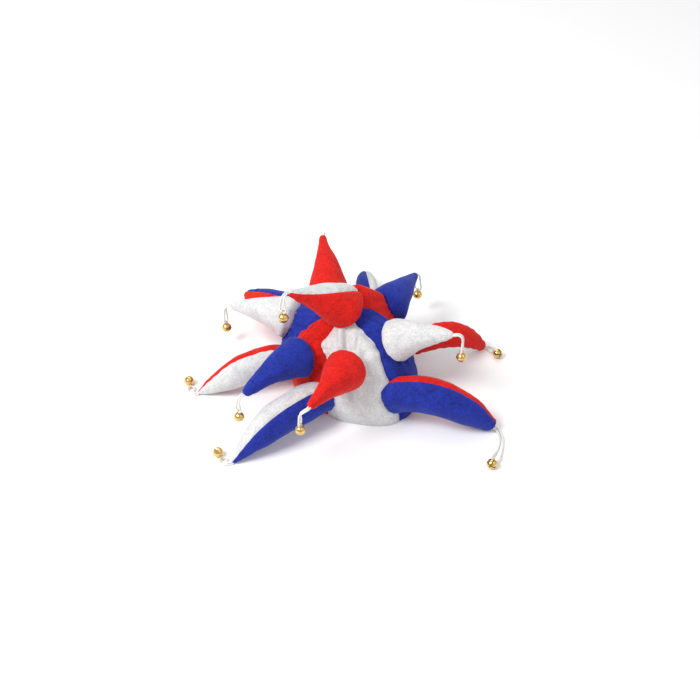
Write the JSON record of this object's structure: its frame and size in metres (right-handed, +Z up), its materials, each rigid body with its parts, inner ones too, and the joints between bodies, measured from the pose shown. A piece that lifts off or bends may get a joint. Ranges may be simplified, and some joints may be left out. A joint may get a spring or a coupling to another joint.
{
  "type": "jester hat",
  "caption": "Stuffed velour jester hat with six lower horns, six cones and a top horn, each with a jingle bell on a cord loop.",
  "frame": {"origin": "middle of the rim's plane, which rests on the table", "axes": "+Z up through the crown, -Y towards the front of the head, +X to the wearer's left"},
  "size_m": [0.4619, 0.5155, 0.1988],
  "materials": {
    "white_velour": "brushed velour",
    "red_velour": "brushed velour",
    "blue_velour": "brushed velour",
    "white_cord": "satin cord",
    "brass": "polished"
  },
  "bodies": {
    "root": {"gore_left": "red_velour", "cone_left": "blue_velour", "gore_back_left": "white_velour", "cone_back_left": "red_velour", "gore_back_right": "blue_velour", "cone_back_right": "white_velour", "gore_right": "red_velour", "cone_right": "blue_velour", "gore_front_right": "white_velour", "cone_front_right": "red_velour", "gore_front_left": "blue_velour", "cone_front_left": "white_velour", "horn_front_blue": "blue_velour", "horn_front_red": "red_velour", "horn_front_left_red": "red_velour", "horn_front_left_white": "white_velour", "horn_back_left_white": "white_velour", "horn_back_left_blue": "blue_velour", "horn_back_blue": "blue_velour", "horn_back_red": "red_velour", "horn_back_right_red": "red_velour", "horn_back_right_white": "white_velour", "horn_front_right_white": "white_velour", "horn_front_right_blue": "blue_velour", "top_horn_red": "red_velour", "top_horn_white": "white_velour", "cord_cone_left": "white_cord", "cord_cone_back_left": "white_cord", "cord_cone_back_right": "white_cord", "cord_cone_right": "white_cord", "cord_cone_front_right": "white_cord", "cord_cone_front_left": "white_cord", "cord_horn_front": "white_cord", "cord_horn_front_left": "white_cord", "cord_horn_back_left": "white_cord", "cord_horn_back": "white_cord", "cord_horn_back_right": "white_cord", "cord_horn_front_right": "white_cord", "cord_top_horn": "white_cord", "bell_cone_left": "brass", "bell_cone_back_left": "brass", "bell_cone_back_right": "brass", "bell_cone_right": "brass", "bell_cone_front_right": "brass", "bell_cone_front_left": "brass", "bell_horn_front": "brass", "bell_horn_front_left": "brass", "bell_horn_back_left": "brass", "bell_horn_back": "brass", "bell_horn_back_right": "brass", "bell_horn_front_right": "brass", "bell_top_horn": "brass"}
  },
  "joints": []
}
